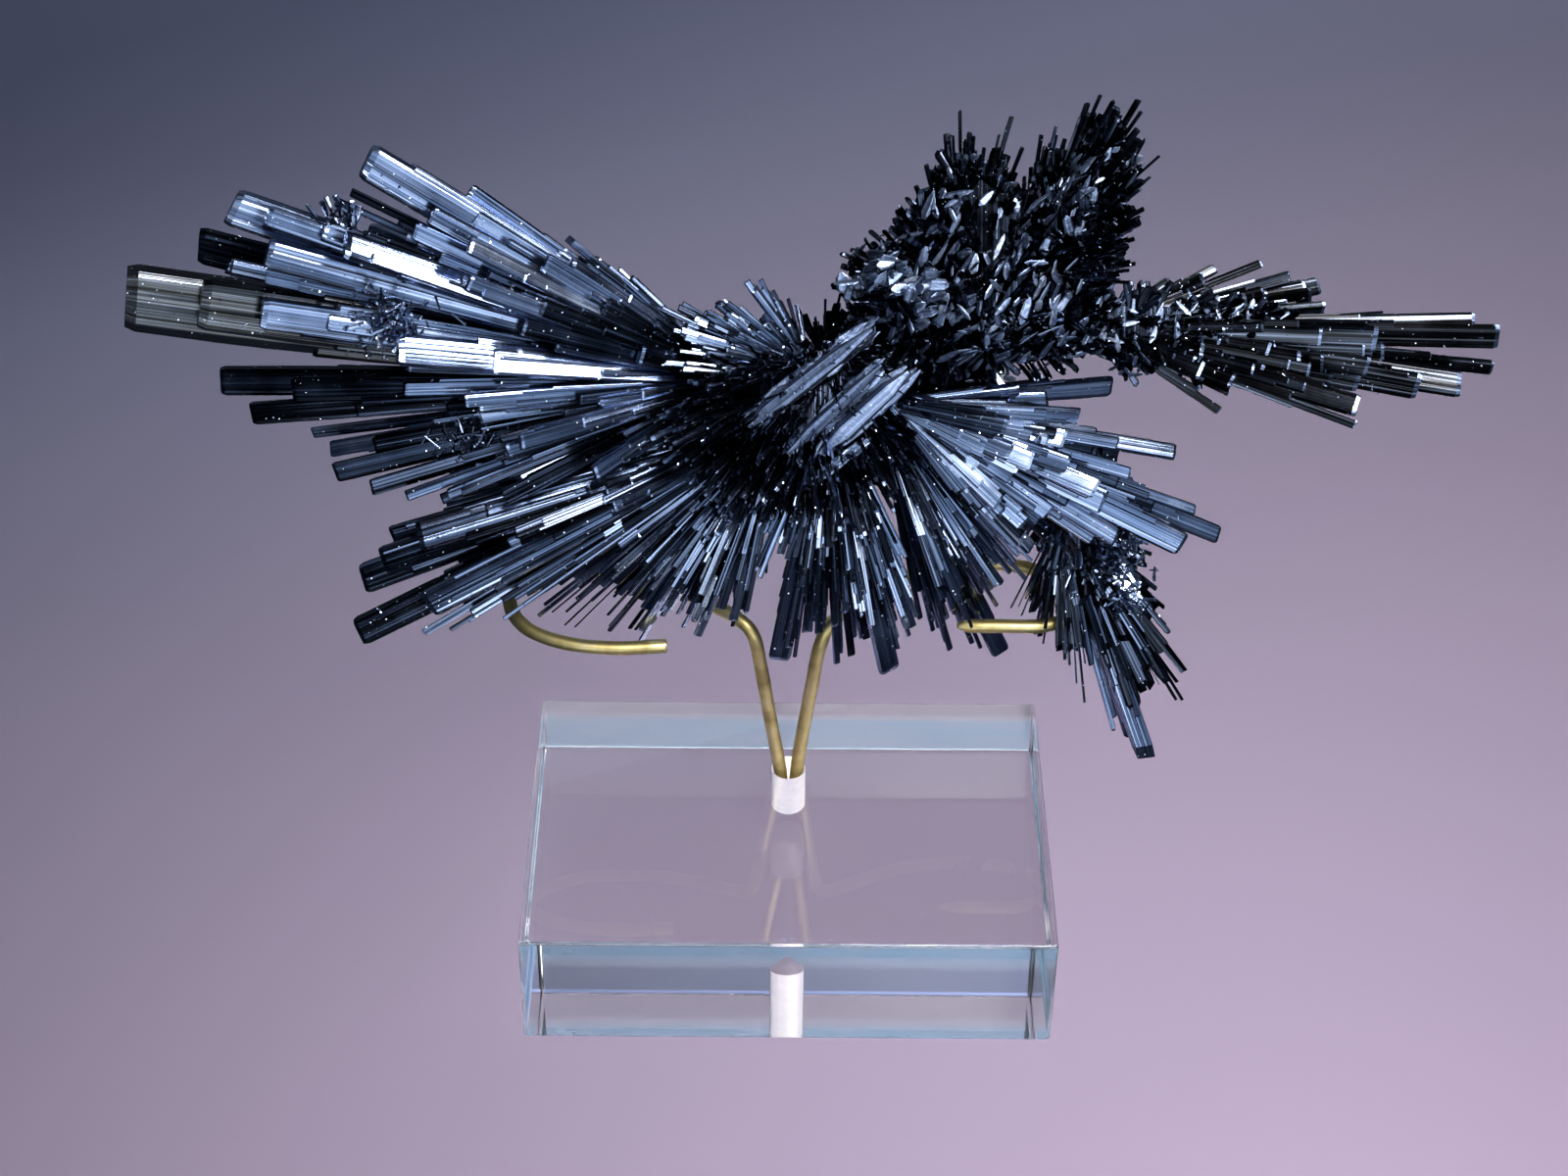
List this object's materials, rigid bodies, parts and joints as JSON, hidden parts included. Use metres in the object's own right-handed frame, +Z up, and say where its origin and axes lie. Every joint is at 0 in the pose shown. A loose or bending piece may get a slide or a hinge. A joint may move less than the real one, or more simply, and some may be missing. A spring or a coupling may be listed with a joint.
{
  "type": "mounted stibnite crystal spray",
  "caption": "Radiating spray of metallic stibnite blades and needles, cradled by two bent brass wires in a clear acrylic base block.",
  "frame": {"origin": "centre of the acrylic block's underside", "axes": "+Z up, +X along the block's long side towards the thin arm of the spray, -Y towards the side the spray faces"},
  "size_m": [0.1796, 0.0563, 0.1334],
  "materials": {
    "stibnite": "striated metallic crystal",
    "brass": "satin, slightly tarnished",
    "clear_acrylic": "polished clear"
  },
  "bodies": {
    "root": {"stibnite_spray": "stibnite", "brass_wire_left": "brass", "brass_wire_right": "brass", "acrylic_block": "clear_acrylic"}
  },
  "joints": []
}
